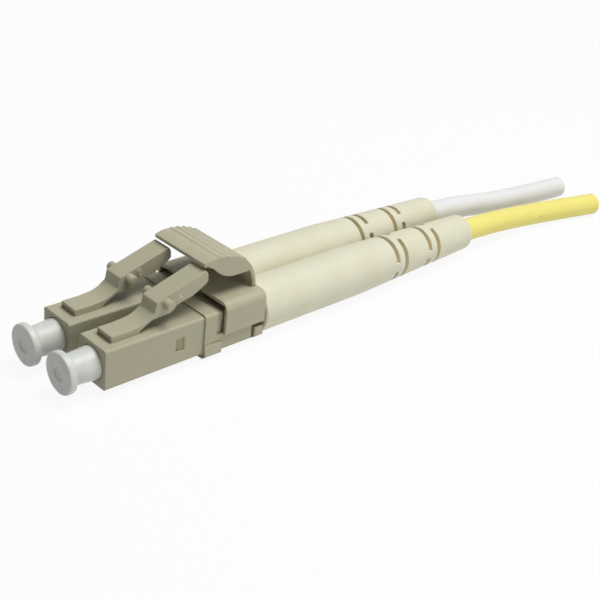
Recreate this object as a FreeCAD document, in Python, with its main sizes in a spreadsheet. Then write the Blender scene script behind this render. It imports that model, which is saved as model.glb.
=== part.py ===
import FreeCAD, Part
import math
import os
import re

import Sketcher
from FreeCAD import Placement, Rotation, Vector

# Duplex fibre plug: two single-fibre plugs side by side, joined by a clip whose trigger presses both latches.
# +X is the mating direction, +Z the latch side, +Y the side of plug "a". The origin is midway between the two
# ferrule axes, in the plane of the housings' front faces. Lengths are in millimetres; "back" is along -X.

SIZES = {
    # interface
    "pitch": 6.25,
    "ferrule_r": 0.625,
    "ferrule_length": 6.4,
    "ferrule_out": 1.6,
    "ferrule_bevel": 0.19,
    "fit_gap": 0.035,
    "slip_gap": 0.05,
    "past": 1.0,  # how far a cut runs on past the face that it goes through
    # plug housing
    "front_side": 4.52,
    "front_round": 0.28,
    "step_back": 12.2,
    "rear_side": 4.9,
    "rear_round": 0.4,
    "body_back": 18.8,
    "bore_r": 1.85,
    "bore_back": 3.0,
    "web_r": 0.85,
    "web_back": 3.7,
    "chamber_r": 1.75,
    "chamber_back": 8.3,
    "socket_r": 1.9,
    "window_front": 8.7,
    "window_back": 9.65,
    "window_half": 0.73,
    "neck_front": 13.85,
    "neck_half": 2.12,
    "neck_low": 0.3,
    "rib_back": 14.3,
    "rib_low": 0.05,
    "rib_high": 1.3,
    # latch lever and the root block it springs from
    "latch_wide": 2.45,
    "root_front": 1.35,
    "root_up": 3.0,
    "root_flat": 3.3,
    "root_sunk": 2.0,
    "lip_up": 2.62,
    "lip_deep": 0.4,
    "lip_side": 0.2,
    "knuckle_back": 4.35,
    "knuckle_up": 2.72,
    "knuckle_r": 0.36,
    "slot_back": 4.8,
    "lug_foot_back": 6.5,
    "lug_foot_up": 3.95,
    "lug_top_back": 6.75,
    "lug_top_up": 5.12,
    "neck_bend_r": 4.0,
    "tip_back": 13.3,
    "tip_up": 7.08,
    "tip_cut": 0.3,
    "tip_low": 5.5,
    "belly_front": 6.3,
    "belly_front_up": 3.3,
    "belly_back": 8.7,
    "belly_back_up": 3.48,
    "waist_front": 9.3,
    "waist_front_up": 4.15,
    "waist_back": 11.5,
    "waist_back_up": 4.65,
    "ear_back": 7.9,
    "ear_up": 4.8,
    "ear_r": 0.52,
    "ear_span": 4.2,
    "ear_edge": 0.15,
    # ferrule assembly
    "hex_r": 1.55,
    "hex_front": 3.75,
    "hex_back": 4.95,
    "barrel_r": 0.95,
    "barrel_back": 7.0,
    "passage_r": 0.52,
    "wire_r": 0.14,
    "coil_r": 1.2,
    "coil_turns": 5.0,
    # rear body, the post that the cable's yarn is crimped to
    "post_front": 8.4,
    "seat_back": 9.95,
    "seat_r": 1.45,
    "duct_r": 0.75,
    "post_collar_back": 19.9,
    "post_collar_r": 2.35,
    "post_r": 1.4,
    "post_back": 26.0,
    "groove_deep": 0.12,
    "groove_wide": 0.55,
    "tab_in": 1.6,
    "tab_out": 2.12,
    "tab_slope": 0.12,
    # crimp sleeve
    "crimp_front": 20.3,
    "crimp_step": 26.1,
    "crimp_back": 28.6,
    "crimp_in": 1.62,
    "crimp_wall": 0.33,
    # boot
    "boot_front": 20.45,
    "boot_r": 3.05,
    "boot_taper": 36.5,
    "boot_tip_r": 2.3,
    "boot_back": 57.3,
    "boot_tip_long": 0.5,
    "boot_tip_short": 0.15,
    "boot_room_r": 2.02,
    "boot_room_back": 28.9,
    "boot_bore_r": 1.56,
    "slit_floor_r": 1.95,
    "slit_wide": 0.5,
    "slit_angle": 152.0,
    "slit_1": 42.1,
    "slit_2": 43.7,
    "slit_3": 48.35,
    "slit_4": 50.05,
    # dust cap
    "cap_face": 3.8,
    "cap_rim": 0.72,
    "cap_disc_r": 2.25,
    "cap_edge": 0.16,
    "cap_neck_r": 1.6,
    "cap_neck_edge": 0.4,
    "cap_seat": 0.2,
    "cap_plug_r": 1.8,
    "cap_plug_back": 2.6,
    "cap_hole_front": 2.2,
    "dimple_r": 0.8,
    "dimple_deep": 0.14,
    # cable
    "jacket_r": 1.5,
    "jacket_in": 0.95,
    "yarn_in": 0.47,
    "fibre_r": 0.45,
    "skin_gap": 0.02,
    "jacket_front": 26.4,
    "fibre_front": 5.6,
    "fan_front": 20.5,
    "fan_back": 26.2,
    # clip
    "clip_front": 14.7,
    "clip_back": 20.4,
    "clip_half": 5.95,
    "clip_up": 3.25,
    "clip_low": 0.45,
    "clip_round": 0.95,
    "clip_flare_back": 16.0,
    "clip_flare_up": 2.75,
    "clip_flare_half": 5.55,
    "clip_gap": 0.04,
    "clip_rear_edge": 0.18,
    "clip_web": 0.6,
    "plate_front": 12.55,
    "plate_half": 4.75,
    "plate_low": 2.95,
    "grip_out": 5.85,
    "grip_in": 4.3,
    "grip_low": 2.8,
    "hook_front": 12.5,
    "hook_back": 14.45,
    "hook_up": 1.1,
    "hook_down": 2.4,
    "hook_foot": 5.35,
    "heel_front": 19.05,
    "heel_back": 20.25,
    "heel_up": 0.95,
    "heel_down": 2.1,
    "heel_foot": 4.85,
    # trigger
    "pivot_back": 19.75,
    "pivot_up": 3.02,
    "pivot_r": 0.33,
    "pivot_gap": 0.04,
    "trigger_half": 4.2,
    "trigger_thick": 0.42,
    "skirt_thick": 0.5,
    "skirt_sunk": 0.1,
    "skirt_rear": 18.9,
    "skirt_low": 5.28,
    "skirt_turn": 17.1,
    "skirt_turn_r": 3.6,
    "skirt_bend": 14.4,
    "skirt_bend_up": 6.5,
    "skirt_bend_r": 2.48,
    "skirt_front": 13.2,
    "skirt_front_up": 7.25,
    "nose_back": 12.75,
    "nose_up": 7.72,
    "brow_back": 13.8,
    "brow_up": 7.95,
    "crown_back": 18.15,
    "crown_up": 7.02,
    "crown_r": 8.5,
    "crown_in_back": 17.94,
    "crown_in_up": 6.62,
    "nape_r": 4.6,
    "stem_up": 3.62,
    "stem_front": 19.55,
    "ridge_r": 0.25,
    "ridge_rise": 0.09,
}

SIDES = {"a": 1, "b": -1}  # plug "a" lies towards +Y, plug "b" towards -Y
HEXAGON = [(math.cos(math.radians(turn)), math.sin(math.radians(turn))) for turn in range(0, 360, 60)]
RIDGE_ANGLES = (7, 13, 19, 25, 31)  # degrees round the crown's centre, from the brow towards the rear
NEAR = 0.01  # slack when an edge is told by its place
BOOT_TURNS = {"a": 0, "b": -45}  # degrees round the X axis: a round boot seats at any angle
BOOT_SEATS = {"a": 0, "b": -0.35}  # along the X axis: how far each boot is pushed on

# Routes of the two cables behind the crimp: (x, y, z), hand-laid, the free ends lying on the surface that the
# boots rest on.
ROUTES = {
    "a": [(-46.0, 3.125, 0), (-60.0, 3.125, 0), (-73.5, 2.8, -1.4), (-85.8, 5.59, -1.5)],
    "b": [(-46.0, -3.125, 0), (-61.0, -3.125, 0), (-73.8, -2.2, -1.5), (-86.5, -1.17, -1.5)],
}

doc = FreeCAD.newDocument("duplex_fibre_plug")
sheet = doc.addObject("Spreadsheet::Sheet", "dims")
for row, (alias, value) in enumerate(SIZES.items(), start=1):
    sheet.set(f"A{row}", alias)
    sheet.set(f"B{row}", str(value))
    sheet.setAlias(f"B{row}", alias)
doc.recompute()


def bound(expression):
    """The expression with each size's name pointing at its cell."""
    return re.sub(r"[a-z]\w*", lambda word: "dims." + word.group() if word.group() in SIZES else word.group(),
                  expression)


def number(expression):
    """The value of an expression in the sheet's sizes."""
    value = sheet.evalExpression(bound(expression))
    return float(getattr(value, "Value", value))


class Piece:
    """One PartDesign body. Its sketches and features are bound to the sheet."""

    def __init__(self, label, side=None):
        self.body = doc.addObject("PartDesign::Body", label)
        self.body.Label = label
        if side:
            self.body.setExpression("Placement.Base.y", bound(f"{SIDES[side]} * pitch / 2"))

    def plane(self, role):
        return next(plane for plane in self.body.Origin.OriginFeatures if plane.Role == role)

    def sketch(self, name, role, offset=None):
        sketch = self.body.newObject("Sketcher::SketchObject", name)
        sketch.AttachmentSupport = [(self.plane(role), "")]
        sketch.MapMode = "FlatFace"
        if offset:
            sketch.setExpression("AttachmentOffset.Base.z", bound(offset))
        return sketch

    def outline(self, name, role, corners, offset=None):
        """A closed outline. A corner is (across, up) in sheet expressions; with a radius and +1 or -1 added,
        the edge that leaves it is an arc that bends left or right."""
        sketch = self.sketch(name, role, offset)
        places = [Vector(number(corner[0]), number(corner[1]), 0) for corner in corners]
        ends = []
        for index, corner in enumerate(corners):
            start, stop = places[index], places[(index + 1) % len(places)]
            if len(corner) == 2:
                sketch.addGeometry(Part.LineSegment(start, stop))
                ends.append((1, 2))
            else:
                sketch.addGeometry(arc_between(start, stop, number(corner[2]), corner[3]))
                ends.append((1, 2) if corner[3] > 0 else (2, 1))
        for index, corner in enumerate(corners):
            after = (index + 1) % len(corners)
            sketch.addConstraint(Sketcher.Constraint(
                "Coincident", index, ends[index][1], after, ends[after][0]))
            for kind, expression, value in (("DistanceX", corner[0], places[index].x),
                                            ("DistanceY", corner[1], places[index].y)):
                row = sketch.addConstraint(Sketcher.Constraint(kind, -1, 1, index, ends[index][0], value))
                sketch.setExpression(f"Constraints[{row}]", bound(expression))
            if len(corner) == 4:
                row = sketch.addConstraint(Sketcher.Constraint("Radius", index, number(corner[2])))
                sketch.setExpression(f"Constraints[{row}]", bound(corner[2]))
        return sketch

    def box_outline(self, name, role, low, high, offset=None):
        """A rectangle from its low corner to its high corner."""
        return self.outline(name, role, [low, (high[0], low[1]), high, (low[0], high[1])], offset)

    def disc_outline(self, name, role, radius, centre=("0", "0"), offset=None):
        sketch = self.sketch(name, role, offset)
        place = Vector(number(centre[0]), number(centre[1]), 0)
        sketch.addGeometry(Part.Circle(place, Vector(0, 0, 1), number(radius)))
        for kind, expression, value in (("DistanceX", centre[0], place.x), ("DistanceY", centre[1], place.y)):
            row = sketch.addConstraint(Sketcher.Constraint(kind, -1, 1, 0, 3, value))
            sketch.setExpression(f"Constraints[{row}]", bound(expression))
        row = sketch.addConstraint(Sketcher.Constraint("Radius", 0, number(radius)))
        sketch.setExpression(f"Constraints[{row}]", bound(radius))
        return sketch

    def straight(self, kind, sketch, length, both_ways, flipped):
        feature = self.body.newObject("PartDesign::" + kind, f"{kind}_of_{sketch.Name}")
        feature.Profile = sketch
        feature.setExpression("Length", bound(length))
        if both_ways:
            feature.SideType = "Symmetric"
        feature.Reversed = flipped
        doc.recompute()
        return feature

    def pad(self, sketch, length, both_ways=False, flipped=False):
        return self.straight("Pad", sketch, length, both_ways, flipped)

    def pocket(self, sketch, length, both_ways=False, flipped=False):
        return self.straight("Pocket", sketch, length, both_ways, flipped)

    def turn(self, kind, sketch, angle="360", both_ways=False):
        feature = self.body.newObject("PartDesign::" + kind, f"{kind}_of_{sketch.Name}")
        feature.Profile = sketch
        feature.ReferenceAxis = (sketch, ["H_Axis"])
        feature.setExpression("Angle", bound(angle))
        if both_ways:
            feature.Midplane = True
        doc.recompute()
        return feature

    def revolve(self, sketch):
        return self.turn("Revolution", sketch)

    def opposite_pair(self, feature):
        """The feature and its copy half a turn round the X axis."""
        pattern = self.body.newObject("PartDesign::PolarPattern", f"pair_of_{feature.Name}")
        pattern.Originals = [feature]
        pattern.Axis = (self.body.Origin.OriginFeatures[0], [""])
        pattern.Angle = 360
        pattern.Occurrences = 2
        self.body.Tip = pattern
        doc.recompute()
        return pattern

    def soften(self, kind, setting, size, wanted):
        """A fillet or chamfer on the edges of the tip that the test accepts."""
        base = self.body.Tip
        names = [f"Edge{n}" for n, edge in enumerate(base.Shape.Edges, start=1) if wanted(edge)]
        feature = self.body.newObject("PartDesign::" + kind, f"{kind}_of_{base.Name}")
        feature.Base = (base, names)
        feature.setExpression(setting, bound(size))
        doc.recompute()
        return feature

    def round_edges(self, radius, wanted):
        return self.soften("Fillet", "Radius", radius, wanted)

    def bevel_edges(self, width, wanted):
        return self.soften("Chamfer", "Size", width, wanted)


def arc_between(start, stop, radius, bend):
    """The short arc from start to stop; bend is +1 to the left, -1 to the right."""
    chord = stop - start
    normal = Vector(-chord.y, chord.x, 0).normalize() * bend
    centre = (start + stop) * 0.5 + normal * math.sqrt(radius ** 2 - (chord.Length / 2) ** 2)
    angles = [math.atan2(point.y - centre.y, point.x - centre.x) for point in (start, stop)]
    if bend < 0:
        angles.reverse()
    return Part.ArcOfCircle(Part.Circle(centre, Vector(0, 0, 1), radius), *angles)


def runs_along_x(edge):
    straight = edge.Curve.TypeId == "Part::GeomLine"
    return straight and 1 - abs(edge.tangentAt(edge.FirstParameter).x) < NEAR


# Plug housing: a square front on the mating side, a slightly larger middle, a narrower neck for the clip, a
# stepped bore, a window in each side for the rear body's tabs, and the block that the latch springs from, hollow
# under its front lip.
def plug_housing(side):
    piece = Piece(f"plug_housing_{side}", side)
    front = piece.box_outline("front_square", "YZ_Plane", ("-front_side / 2", "-front_side / 2"),
                              ("front_side / 2", "front_side / 2"))
    piece.pad(front, "step_back", flipped=True)
    piece.round_edges("front_round", runs_along_x)
    rear = piece.box_outline("rear_square", "YZ_Plane", ("-rear_side / 2", "-rear_side / 2"),
                             ("rear_side / 2", "rear_side / 2"), offset="-step_back")
    piece.pad(rear, "body_back - step_back", flipped=True)
    behind = -SIZES["step_back"] - NEAR
    piece.round_edges("rear_round", lambda edge: runs_along_x(edge) and edge.BoundBox.XMin < behind)
    root = piece.outline("root_block", "XZ_Plane", [
        ("-root_front", "root_sunk"), ("-slot_back", "root_sunk"), ("-slot_back", "front_side / 2"),
        ("-knuckle_back", "knuckle_up"), ("-knuckle_back", "knuckle_up + knuckle_r"),
        ("-root_flat", "root_up"), ("-root_front", "root_up")])
    piece.pad(root, "latch_wide", both_ways=True)
    under_lip = piece.box_outline("under_lip", "XZ_Plane", ("-root_front - lip_deep", "front_side / 2"),
                                  ("-root_front + lip_deep", "lip_up"))
    piece.pocket(under_lip, "latch_wide - lip_side * 2", both_ways=True)
    knuckle = piece.disc_outline("knuckle_seat", "XZ_Plane", "knuckle_r + slip_gap",
                                 ("-knuckle_back", "knuckle_up"))
    piece.pocket(knuckle, "front_side", both_ways=True)
    for name, way in SIDES.items():
        inner, outer = sorted([f"{way} * neck_half", f"{way} * rear_side"], key=number)
        step = piece.box_outline(f"neck_side_{name}", "YZ_Plane", (inner, "-neck_low"), (outer, "rear_side"),
                                 offset="-neck_front")
        piece.pocket(step, "body_back", flipped=False)
    step = piece.box_outline("neck_top", "YZ_Plane", ("-rear_side", "neck_half"), ("rear_side", "rear_side"),
                             offset="-neck_front")
    piece.pocket(step, "body_back", flipped=False)
    rib = piece.box_outline("side_ribs", "XZ_Plane", ("-rib_back", "rib_low"), ("-neck_front", "rib_high"))
    piece.pad(rib, "rear_side - rear_round", both_ways=True)
    bore = piece.outline("stepped_bore", "XZ_Plane", [
        ("past", "0"), ("past", "bore_r"), ("-bore_back", "bore_r"), ("-bore_back", "web_r"),
        ("-web_back", "web_r"), ("-web_back", "chamber_r"), ("-chamber_back", "chamber_r"),
        ("-chamber_back", "socket_r"), ("-body_back - past", "socket_r"), ("-body_back - past", "0")])
    piece.turn("Groove", bore)
    window = piece.box_outline("windows", "XZ_Plane", ("-window_back", "-window_half"),
                               ("-window_front", "window_half"))
    piece.pocket(window, "rear_side * 2", both_ways=True)
    return piece


# Latch lever: a springy arm in the real moulding, here turning in its root block on a round knuckle.
def latch_lever(side):
    piece = Piece(f"latch_lever_{side}", side)
    arm = piece.outline("arm", "XZ_Plane", [
        ("-knuckle_back", "knuckle_up - knuckle_r"),
        ("-knuckle_back", "knuckle_up + knuckle_r", "neck_bend_r", 1),
        ("-lug_foot_back", "lug_foot_up"), ("-lug_top_back", "lug_top_up"),
        ("-tip_back + tip_cut", "tip_up"), ("-tip_back", "tip_up - tip_cut"),
        ("-tip_back", "tip_low + tip_cut"), ("-tip_back + tip_cut", "tip_low"),
        ("-waist_back", "waist_back_up"), ("-waist_front", "waist_front_up"),
        ("-belly_back", "belly_back_up"), ("-belly_front", "belly_front_up")])
    piece.pad(arm, "latch_wide", both_ways=True)
    knuckle = piece.disc_outline("knuckle", "XZ_Plane", "knuckle_r", ("-knuckle_back", "knuckle_up"))
    piece.pad(knuckle, "latch_wide", both_ways=True)
    ears = piece.disc_outline("ears", "XZ_Plane", "ear_r", ("-ear_back", "ear_up"))
    piece.pad(ears, "ear_span", both_ways=True)
    reach = SIZES["ear_span"] / 2 - NEAR
    piece.bevel_edges("ear_edge", lambda edge: abs(edge.BoundBox.Center.y) > reach)
    return piece


# Ceramic ferrule with a bevelled tip.
def ferrule(side):
    piece = Piece(f"ferrule_{side}", side)
    profile = piece.outline("profile", "XZ_Plane", [
        ("ferrule_out - ferrule_length", "0"), ("ferrule_out", "0"),
        ("ferrule_out", "ferrule_r - ferrule_bevel"), ("ferrule_out - ferrule_bevel", "ferrule_r"),
        ("ferrule_out - ferrule_length", "ferrule_r")])
    piece.revolve(profile)
    return piece


# Flange pressed on the ferrule's rear: a hexagon that seats on the housing's web, and a barrel inside the
# spring.
def ferrule_flange(side):
    piece = Piece(f"ferrule_flange_{side}", side)
    corners = [(f"hex_r * {across:.6f}", f"hex_r * {up:.6f}") for across, up in HEXAGON]
    head = piece.outline("hexagon", "YZ_Plane", corners, offset="-hex_front")
    piece.pad(head, "hex_back - hex_front", flipped=True)
    barrel = piece.disc_outline("barrel", "YZ_Plane", "barrel_r", offset="-hex_front")
    piece.pad(barrel, "barrel_back - hex_front", flipped=True)
    bore = piece.outline("bore", "XZ_Plane", [
        ("-hex_front + past", "0"), ("-hex_front + past", "ferrule_r"),
        ("ferrule_out - ferrule_length", "ferrule_r"), ("ferrule_out - ferrule_length", "passage_r"),
        ("-barrel_back - past", "passage_r"), ("-barrel_back - past", "0")])
    piece.turn("Groove", bore)
    return piece


# Coil spring between the flange's hexagon and the seat in the rear body.
def ferrule_spring(side):
    piece = Piece(f"ferrule_spring_{side}", side)
    corners = [(f"-seat_back + slip_gap + wire_r * {1 + across:.6f}", f"coil_r + wire_r * {up:.6f}")
               for across, up in HEXAGON]
    wire = piece.outline("wire", "XY_Plane", corners)
    coil = piece.body.newObject("PartDesign::AdditiveHelix", "coil")
    coil.Profile = wire
    coil.ReferenceAxis = (wire, ["H_Axis"])
    coil.Mode = "height-turns-angle"
    coil.setExpression("Height", bound("seat_back - hex_back - (wire_r + slip_gap) * 2"))
    coil.setExpression("Turns", bound("coil_turns"))
    doc.recompute()
    return piece


# Rear body: a sleeve inside the housing with two window tabs, a collar, and the ridged crimp post.
def rear_body(side):
    piece = Piece(f"rear_body_{side}", side)
    outer = [("-post_front", "duct_r"), ("-post_front", "socket_r - slip_gap"),
             ("-body_back", "socket_r - slip_gap"), ("-body_back", "post_collar_r"),
             ("-post_collar_back", "post_collar_r"), ("-post_collar_back", "post_r"),
             ("-post_back", "post_r"), ("-post_back", "duct_r")]
    piece.revolve(piece.outline("profile", "XZ_Plane", outer))
    seat = piece.box_outline("spring_seat", "XZ_Plane", ("-seat_back", "0"),
                             ("-post_front + past", "seat_r"))
    piece.turn("Groove", seat)
    for k in range(3):
        start = f"-post_back + groove_wide * {2 * k + 1}"
        ring = piece.box_outline(f"groove_{k}", "XZ_Plane", (start, "post_r - groove_deep"),
                                 (f"{start} + groove_wide", "post_r + past"))
        piece.turn("Groove", ring)
    for tab_side in (1, -1):
        tab = piece.outline(f"tab_{'ab'[tab_side < 0]}", "XY_Plane", [
            ("-window_front - slip_gap", f"{tab_side} * tab_in"),
            ("-window_back + slip_gap", f"{tab_side} * tab_in"),
            ("-window_back + slip_gap", f"{tab_side} * tab_out"),
            ("-window_front - slip_gap", f"{tab_side} * (tab_out - tab_slope)")])
        piece.pad(tab, "(window_half - slip_gap) * 2", both_ways=True)
    return piece


# Crimp sleeve: wide over the post and the yarn, narrow over the cable's jacket.
def crimp_sleeve(side):
    piece = Piece(f"crimp_sleeve_{side}", side)
    piece.revolve(piece.outline("profile", "XZ_Plane", [
        ("-crimp_front", "crimp_in"), ("-crimp_front", "crimp_in + crimp_wall"),
        ("-crimp_step", "crimp_in + crimp_wall"), ("-crimp_step - crimp_wall", "jacket_r + crimp_wall"),
        ("-crimp_back", "jacket_r + crimp_wall"), ("-crimp_back", "jacket_r"),
        ("-jacket_front", "jacket_r"), ("-jacket_front", "crimp_in")]))
    return piece


# Boot: a rubber sleeve that tapers from the crimp to the cable, cut by rings of slits that let it bend. Each
# ring has two slits; the rings take turns between top-and-bottom and side-and-side.
def boot(side):
    piece = Piece(f"boot_{side}", side)
    piece.revolve(piece.outline("profile", "XZ_Plane", [
        ("-boot_front", "boot_room_r"), ("-boot_front", "boot_r"), ("-boot_taper", "boot_r"),
        ("-boot_back + boot_tip_long", "boot_tip_r"),
        ("-boot_back + boot_tip_short", "boot_tip_r - boot_tip_short"),
        ("-boot_back", "boot_tip_r - boot_tip_long"), ("-boot_back", "boot_bore_r"),
        ("-boot_room_back", "boot_bore_r"), ("-boot_room_back", "boot_room_r")]))
    for ring, role in ((1, "XZ_Plane"), (2, "XY_Plane"), (3, "XZ_Plane"), (4, "XY_Plane")):
        slit = piece.box_outline(f"slit_ring_{ring}", role, (f"-slit_{ring} - slit_wide / 2", "slit_floor_r"),
                                 (f"-slit_{ring} + slit_wide / 2", "boot_r + past"))
        piece.opposite_pair(piece.turn("Groove", slit, "slit_angle", both_ways=True))
    piece.body.Placement.Rotation = Rotation(Vector(1, 0, 0), BOOT_TURNS[side])
    piece.body.Placement.Base.x = BOOT_SEATS[side]
    return piece


# Dust cap: a disc to pull by, a waisted neck, and a plug that fills the housing's bore round the ferrule.
def dust_cap(side):
    piece = Piece(f"dust_cap_{side}", side)
    piece.revolve(piece.outline("profile", "XZ_Plane", [
        ("cap_face - dimple_deep", "0"), ("cap_face - dimple_deep", "dimple_r - dimple_deep"),
        ("cap_face", "dimple_r"), ("cap_face", "cap_disc_r - cap_edge"),
        ("cap_face - cap_edge", "cap_disc_r"), ("cap_face - cap_rim", "cap_disc_r"),
        ("cap_face - cap_rim - cap_edge", "cap_neck_r + cap_neck_edge"),
        ("cap_face - cap_rim - cap_edge - cap_neck_edge", "cap_neck_r"), ("cap_seat", "cap_plug_r"),
        ("-cap_plug_back", "cap_plug_r"), ("-cap_plug_back", "ferrule_r + fit_gap"),
        ("cap_hole_front", "ferrule_r + fit_gap"), ("cap_hole_front", "0")]))
    return piece


# Duplex clip: a hollow shell over both housings' necks, flared in front, with a web between them, a plate
# below with four hooks that hold the housings' lower edges, and a groove across the top rear for the trigger.
def duplex_clip():
    piece = Piece("duplex_clip")
    shell = piece.box_outline("shell", "YZ_Plane", ("-clip_half", "-clip_low"), ("clip_half", "clip_up"),
                              offset="-clip_front")
    piece.pad(shell, "clip_back - clip_front", flipped=True)
    top = SIZES["clip_up"] - NEAR
    piece.round_edges("clip_round", lambda edge: runs_along_x(edge) and edge.BoundBox.ZMin > top)
    rear = -SIZES["clip_back"] + NEAR
    piece.bevel_edges("clip_rear_edge", lambda edge: edge.BoundBox.XMax < rear and edge.BoundBox.ZMax > 0)
    web = piece.box_outline("web", "YZ_Plane", ("-clip_web", "-plate_low"), ("clip_web", "0"),
                            offset="-hook_back")
    piece.pad(web, "clip_back - hook_back", flipped=True)
    plate = piece.box_outline("plate", "YZ_Plane", ("-plate_half", "-plate_low"),
                              ("plate_half", "-rear_side / 2 - clip_gap"), offset="-plate_front")
    piece.pad(plate, "heel_back - plate_front", flipped=True)
    for side, way in SIDES.items():
        for grip in ("hook", "heel"):
            block = piece.outline(f"{grip}_{side}", "YZ_Plane", [
                (f"{way} * grip_in", f"-{grip}_up"), (f"{way} * grip_in", "-grip_low"),
                (f"{way} * {grip}_foot", "-grip_low"), (f"{way} * grip_out", f"-{grip}_down"),
                (f"{way} * grip_out", f"-{grip}_up")], offset=f"-{grip}_front")
            piece.pad(block, f"{grip}_back - {grip}_front", flipped=True)
        middle = f"{way} * pitch / 2"
        low, step, high = "-rear_side / 2 - clip_gap", "-neck_low + clip_gap", "neck_half + clip_gap"
        room = piece.outline(f"housing_room_{side}", "YZ_Plane", [
            (f"{middle} {low}", low), (f"{middle} + rear_side / 2 + clip_gap", low),
            (f"{middle} + rear_side / 2 + clip_gap", step), (f"{middle} + {high}", step),
            (f"{middle} + {high}", high), (f"{middle} - {high.replace('+', '-')}", high),
            (f"{middle} - {high.replace('+', '-')}", step), (f"{middle} {low}", step)],
            offset="-body_back - slip_gap")
        piece.pocket(room, "body_back", flipped=True)
        hole = piece.disc_outline(f"post_hole_{side}", "YZ_Plane", "post_collar_r + slip_gap", (middle, "0"),
                                  offset="-clip_back - past")
        piece.pocket(hole, "clip_back + past - body_back", flipped=True)
    flare = piece.box_outline("flare", "YZ_Plane", ("-clip_flare_half", "-neck_low"),
                              ("clip_flare_half", "clip_flare_up"), offset="-clip_flare_back")
    piece.pocket(flare, "body_back", flipped=True)
    groove = piece.disc_outline("pivot_groove", "XZ_Plane", "pivot_r + pivot_gap",
                                ("-pivot_back", "pivot_up"))
    piece.pocket(groove, "(trigger_half + slip_gap) * 2", both_ways=True)
    mouth = piece.box_outline("groove_mouth", "XZ_Plane", ("-pivot_back - pivot_r - pivot_gap", "pivot_up"),
                              ("-pivot_back + pivot_r + pivot_gap", "clip_up + past"))
    piece.pocket(mouth, "(trigger_half + slip_gap) * 2", both_ways=True)
    return piece


# Trigger: an arched sheet with a skirt at each end and grip ridges, turning on a rod in the clip's groove.
def trigger():
    piece = Piece("trigger")
    sheet_profile = piece.outline("sheet", "XZ_Plane", [
        ("-pivot_back - pivot_r", "pivot_up"), ("-stem_front", "pivot_up"),
        ("-stem_front", "stem_up", "nape_r - trigger_thick", -1),
        ("-crown_in_back", "crown_in_up", "crown_r - trigger_thick", -1),
        ("-brow_back", "brow_up - trigger_thick"), ("-nose_back", "nose_up - trigger_thick"),
        ("-nose_back", "nose_up"), ("-brow_back", "brow_up", "crown_r", 1),
        ("-crown_back", "crown_up", "nape_r", 1), ("-pivot_back - pivot_r", "stem_up")])
    piece.pad(sheet_profile, "trigger_half * 2", both_ways=True)
    rod = piece.disc_outline("rod", "XZ_Plane", "pivot_r", ("-pivot_back", "pivot_up"))
    piece.pad(rod, "trigger_half * 2", both_ways=True)
    for side, way in SIDES.items():
        skirt = piece.outline(f"skirt_{side}", "XZ_Plane", [
            ("-skirt_rear", "skirt_low"), ("-skirt_turn", "skirt_low", "skirt_turn_r", 1),
            ("-skirt_bend", "skirt_bend_up", "skirt_bend_r", -1), ("-skirt_front", "skirt_front_up"),
            ("-brow_back", "brow_up - skirt_sunk"), ("-crown_back", "crown_up - skirt_sunk"),
            ("-skirt_rear - trigger_thick", "skirt_low")],
            offset=f"{-way} * (trigger_half - skirt_thick / 2)")
        piece.pad(skirt, "skirt_thick", both_ways=True)
    crown = arc_between(Vector(-number("brow_back"), number("brow_up"), 0),
                        Vector(-number("crown_back"), number("crown_up"), 0), number("crown_r"), 1)
    for k, angle in enumerate(RIDGE_ANGLES):
        way = Rotation(Vector(0, 0, 1), angle).multVec(crown.StartPoint - crown.Center).normalize()
        top = crown.Center + way * number("crown_r + ridge_rise - ridge_r")
        ridge = piece.disc_outline(f"ridge_{k}", "XZ_Plane", "ridge_r", (f"{top.x:.3f}", f"{top.y:.3f}"))
        piece.pad(ridge, "trigger_half * 2", both_ways=True)
    return piece


def cord_path(points):
    """Straight runs joined by tangent arcs, each as large as its two runs allow. The straight lead through
    the boot adds no arc."""
    points = [Vector(*point) for point in points]
    edges = []
    start = points[0]
    for before, corner, after in zip(points, points[1:], points[2:]):
        arriving, leaving = (corner - before), (after - corner)
        turn = arriving.getAngle(leaving)
        if turn < 1e-6:
            continue
        reach = 0.45 * min(arriving.Length, leaving.Length)
        radius = reach / math.tan(turn / 2)
        print(f"cord bend radius {radius:.1f} mm")
        arriving.normalize()
        leaving.normalize()
        entry, leave = corner - arriving * reach, corner + leaving * reach
        middle_way = (leaving - arriving).normalize()
        middle = corner + middle_way * (radius / math.cos(turn / 2) - radius)
        edges += [Part.LineSegment(start, entry).toShape(), Part.Arc(entry, middle, leave).toShape()]
        start = leave
    edges.append(Part.LineSegment(start, points[-1]).toShape())
    return Part.Wire(edges)


def rod_along(path, radius, hole=0):
    """A round rod along a path, bored through when hole is given."""
    start = path.Edges[0].Vertexes[0].Point
    way = path.Edges[0].tangentAt(path.Edges[0].FirstParameter)
    solids = []
    for size in (radius, hole):
        if size:
            ring = Part.Wire(Part.Circle(start, way, size).toShape())
            solids.append(path.makePipeShell([ring], True, False))
    rod = solids[0].cut(solids[1]) if hole else solids[0]
    expected = math.pi * (radius ** 2 - hole ** 2) * path.Length
    print(f"cord section x length {expected:.1f}, volume {rod.Volume:.1f} mm3, length {path.Length:.1f} mm")
    return rod


def plain(label, shape):
    feature = doc.addObject("Part::Feature", label)
    feature.Label = label
    feature.Shape = shape
    return feature


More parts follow.
